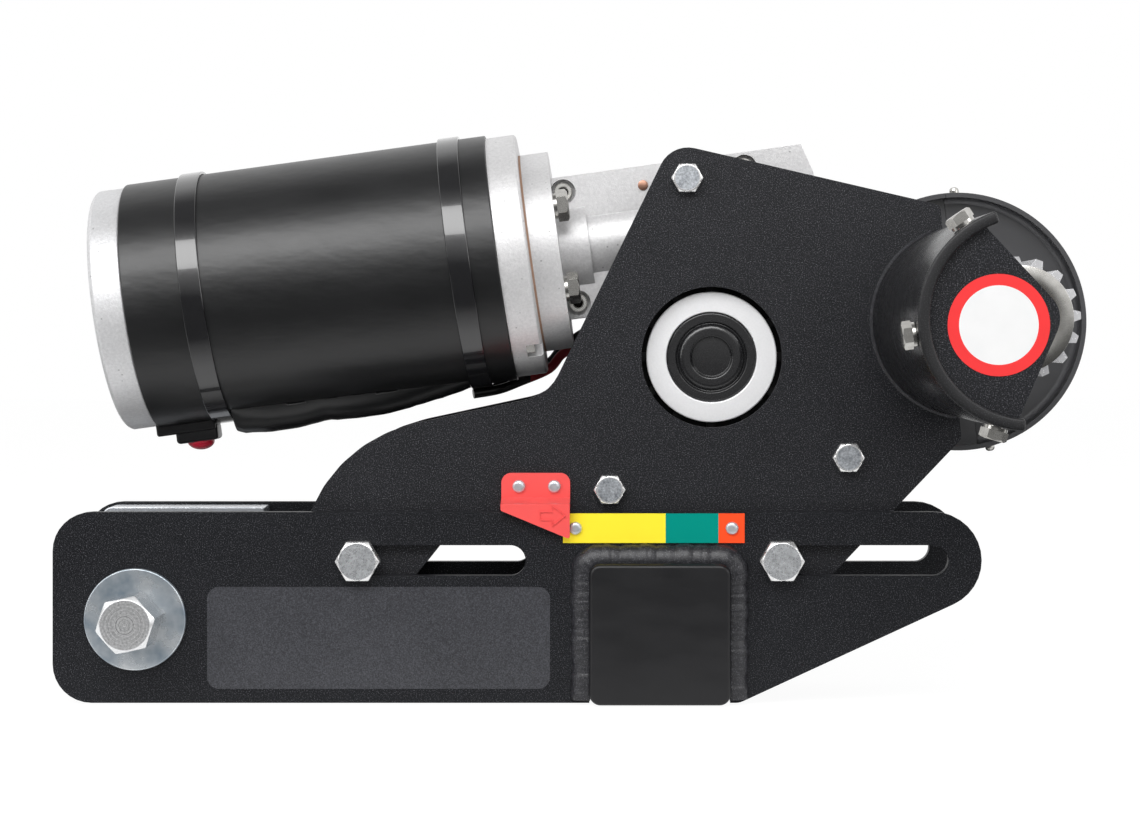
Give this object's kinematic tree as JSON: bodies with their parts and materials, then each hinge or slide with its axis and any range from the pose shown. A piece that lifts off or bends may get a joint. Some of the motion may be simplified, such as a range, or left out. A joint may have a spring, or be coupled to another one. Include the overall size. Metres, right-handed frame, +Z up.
{
  "type": "caravan motor mover",
  "caption": "Motor mover for a caravan: slotted base on a crossbar tube, sliding drive unit with motor, worm gearbox, gear case and guarded ribbed roller.",
  "frame": {"origin": "middle of the square tube's underside, midway between the two base plates", "axes": "+X towards the tyre, +Y away from the roller guard's open end towards the tube's open end, +Z up, as the mover stands on a bench in the picture"},
  "size_m": [0.4848, 0.33, 0.2649],
  "materials": {
    "plate_black": "charcoal powder coat with a fine grain",
    "end_cap_black": "matt black moulding",
    "sleeve_rubber": "satin black rubber",
    "strap_black": "gloss black strap",
    "zinc_steel": "bright zinc plate",
    "dark_steel": "oiled dark steel",
    "cast_aluminium": "satin casting",
    "ring_aluminium": "turned",
    "roller_aluminium": "bright extrusion",
    "case_plastic": "black moulding",
    "ground_steel": "ground and oiled",
    "bronze": "cast bronze, machined",
    "gasket_paper": "fibre gasket",
    "can_steel": "black paint",
    "magnet_ferrite": "ferrite",
    "armature_iron": "laminations with copper",
    "boot_red": "red rubber",
    "lead_rubber": "satin",
    "scale_yellow": "printed strip",
    "pointer_red": "red paint"
  },
  "bodies": {
    "base": {"base_plate_front": "plate_black", "base_plate_rear": "plate_black", "base_brace": "zinc_steel", "crossbar_tube": "plate_black", "tube_end_cap": "end_cap_black", "tube_welds": "plate_black", "spindle_sleeves": "dark_steel", "spindle_washer": "zinc_steel", "indicator_scale": "scale_yellow", "scale_screws": "zinc_steel"},
    "spindle": {"actuation_spindle": "zinc_steel", "crank_arm": "dark_steel", "spindle_clip": "zinc_steel"},
    "link": {"engagement_link": "dark_steel"},
    "drive_unit": {"drive_plate_front": "plate_black", "drive_plate_rear": "plate_black", "plate_bolts": "zinc_steel", "plate_nuts": "zinc_steel", "plate_spacers": "zinc_steel", "guide_bushes": "zinc_steel", "gearbox_body": "cast_aluminium", "gearbox_cover": "cast_aluminium", "gearbox_screws": "zinc_steel", "hub_ring": "ring_aluminium", "hub_seal_cap": "sleeve_rubber", "ball_bearings": "ground_steel", "gear_case_left": "case_plastic", "gear_case_right": "case_plastic", "case_screws": "zinc_steel", "idler_pin": "dark_steel", "flange_gasket": "gasket_paper", "flange_bolts": "zinc_steel", "motor_bell": "cast_aluminium", "motor_can": "can_steel", "motor_rear_cap": "cast_aluminium", "motor_sleeve": "sleeve_rubber", "sleeve_straps": "strap_black", "motor_magnets": "magnet_ferrite", "cable_cover": "sleeve_rubber", "terminal_base": "end_cap_black", "terminal_boot": "boot_red", "motor_leads": "lead_rubber", "lead_grommet": "sleeve_rubber", "guard_pipe": "plate_black", "guard_weld": "plate_black", "bearing_block": "plate_black", "guard_bolts": "zinc_steel", "roller_bushes": "bronze", "position_pointer": "pointer_red", "pointer_screws": "zinc_steel"},
    "rotor": {"motor_shaft": "ground_steel", "armature": "armature_iron", "worm": "ground_steel"},
    "hub": {"hub_shaft": "ground_steel", "worm_wheel": "bronze", "drive_pinion": "ground_steel"},
    "idler": {"idler_gear": "ground_steel"},
    "roller": {"roller": "roller_aluminium", "roller_shaft": "ground_steel", "roller_gear": "ground_steel"}
  },
  "joints": [
    {"name": "engage_slide", "type": "slide", "parent": "base", "child": "drive_unit", "axis": [1, 0, 0], "range_m": [0, 0.07]},
    {"name": "spindle_turn", "type": "hinge", "parent": "base", "child": "spindle", "pos_m": [-0.2417, 0, 0.0387], "axis": [0, 1, 0], "range_deg": [0, 117.74]},
    {"name": "link_swing", "type": "hinge", "parent": "drive_unit", "child": "link", "pos_m": [-0.1389, 0, 0.0657], "axis": [0, 1, 0], "range_deg": [-10.97, 0]},
    {"name": "motor_spin", "type": "hinge", "parent": "drive_unit", "child": "rotor", "pos_m": [0.01616, 0, 0.21884], "axis": [0.9907, 0, 0.1357], "continuous": true},
    {"name": "hub_spin", "type": "hinge", "parent": "drive_unit", "child": "hub", "pos_m": [0.0243, 0, 0.1594], "axis": [0, 1, 0], "continuous": true},
    {"name": "idler_spin", "type": "hinge", "parent": "drive_unit", "child": "idler", "pos_m": [0.07134, 0, 0.16601], "axis": [0, 1, 0], "continuous": true},
    {"name": "roller_spin", "type": "hinge", "parent": "drive_unit", "child": "roller", "pos_m": [0.14313, 0, 0.1761], "axis": [0, 1, 0], "continuous": true}
  ],
  "couplings": [
    {"joint": "spindle_turn", "follows": "engage_slide", "rad_per_m": 29.351},
    {"joint": "link_swing", "follows": "engage_slide", "rad_per_m": -2.7298},
    {"joint": "hub_spin", "follows": "motor_spin", "ratio": -0.026316},
    {"joint": "idler_spin", "follows": "motor_spin", "ratio": 0.02924},
    {"joint": "roller_spin", "follows": "motor_spin", "ratio": -0.013158}
  ]
}
